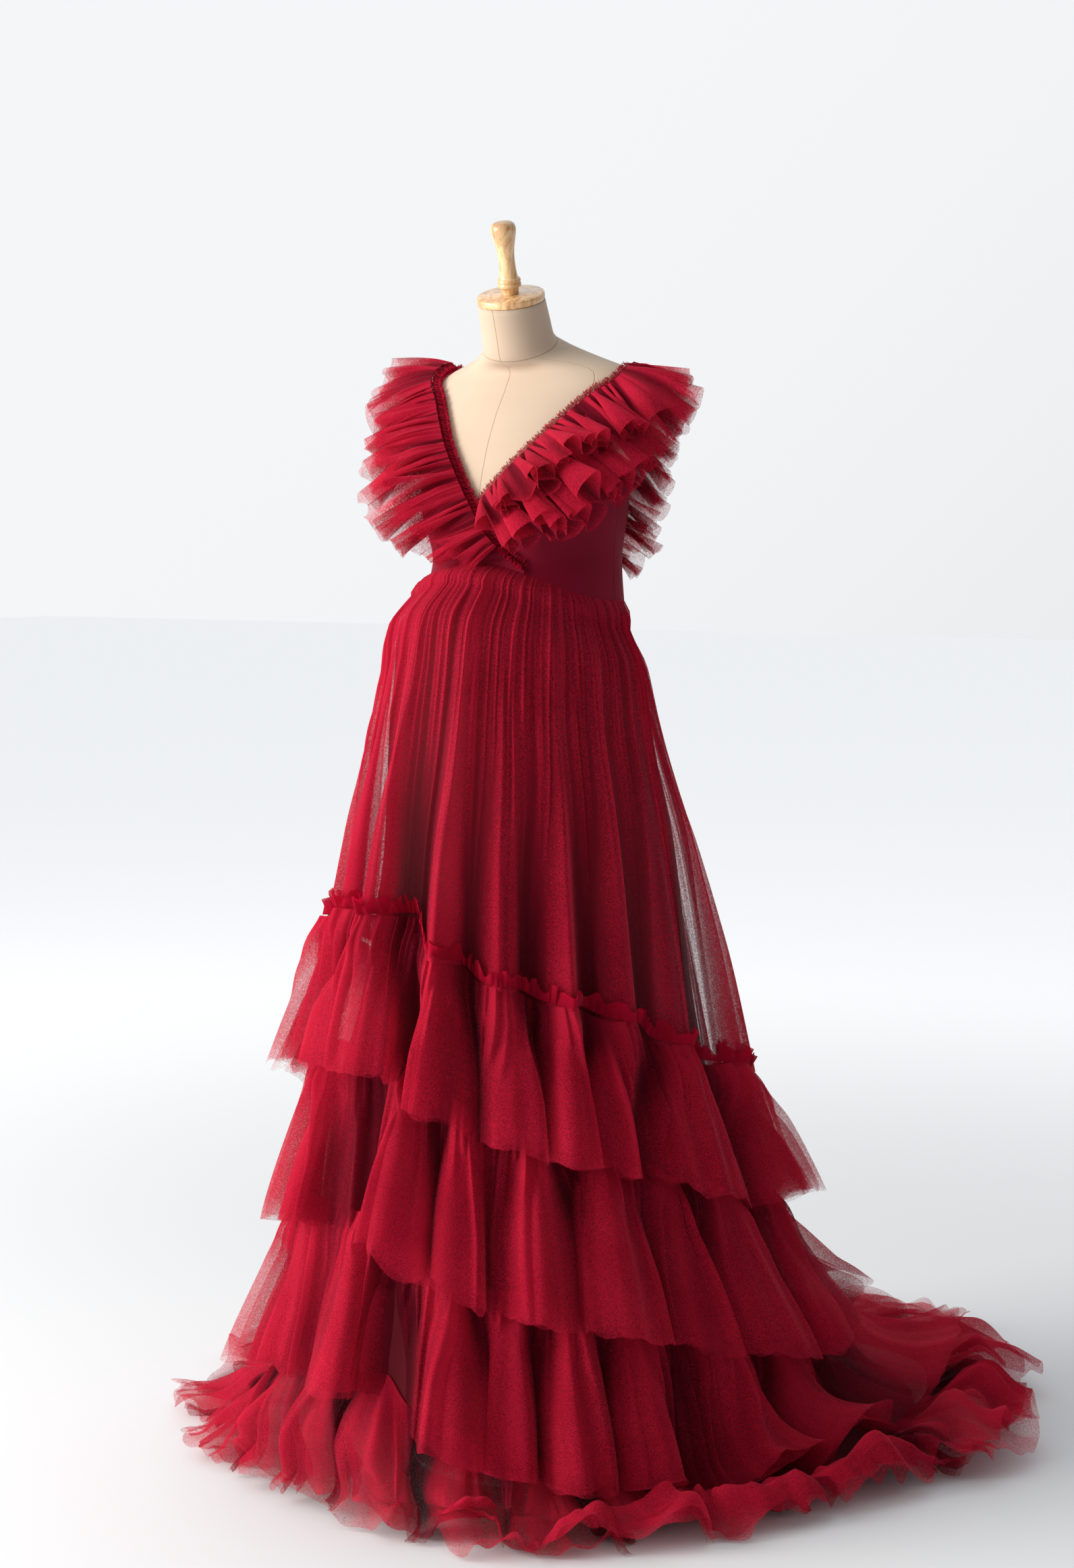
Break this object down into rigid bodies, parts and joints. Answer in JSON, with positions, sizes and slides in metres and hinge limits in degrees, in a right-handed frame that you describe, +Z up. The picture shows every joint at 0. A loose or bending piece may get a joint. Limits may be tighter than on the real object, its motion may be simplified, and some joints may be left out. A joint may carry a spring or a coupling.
{
  "type": "maternity gown on a limbless dress form",
  "caption": "Empire-line tulle maternity gown with a ruffled wrap neckline, a sheer gathered overskirt and tiered flounces that run to a floor train, worn by a limbless dress form.",
  "frame": {"origin": "centre of the stand foot's underside, on the floor under the pole", "axes": "+Z up along the pole, the front of the gown faces -Y, the wearer's left is +X and the train runs to +Y"},
  "size_m": [1.3999, 1.5114, 1.836],
  "materials": {
    "tulle": "soft sheer ruby tulle, layered",
    "lining": "matt dark crimson lining cloth",
    "form_cover": "cream cotton canvas stretched over the form",
    "wood": "light turned wood, clear varnish",
    "stand_metal": "grey satin paint"
  },
  "bodies": {
    "root": {"bodice_front_right": "lining", "bodice_front_left": "lining", "bodice_back": "lining", "neck_band_right": "tulle", "neck_band_left": "tulle", "ruffle_upper_right": "tulle", "ruffle_lower_right": "tulle", "ruffle_upper_left": "tulle", "ruffle_lower_left": "tulle", "lining_upper_front_left": "lining", "lining_upper_front_right": "lining", "lining_upper_back_left": "lining", "lining_upper_back_right": "lining", "lining_lower_front_left": "lining", "lining_lower_front_right": "lining", "lining_lower_back_left": "lining", "lining_lower_back_right": "lining", "skirt_overlay": "tulle", "flounce_1": "tulle", "flounce_2": "tulle", "flounce_3": "tulle", "flounce_4": "tulle", "form_torso": "form_cover", "form_neck_cap": "wood", "form_finial": "wood", "stand_pole": "stand_metal", "stand_foot": "stand_metal"}
  },
  "joints": []
}
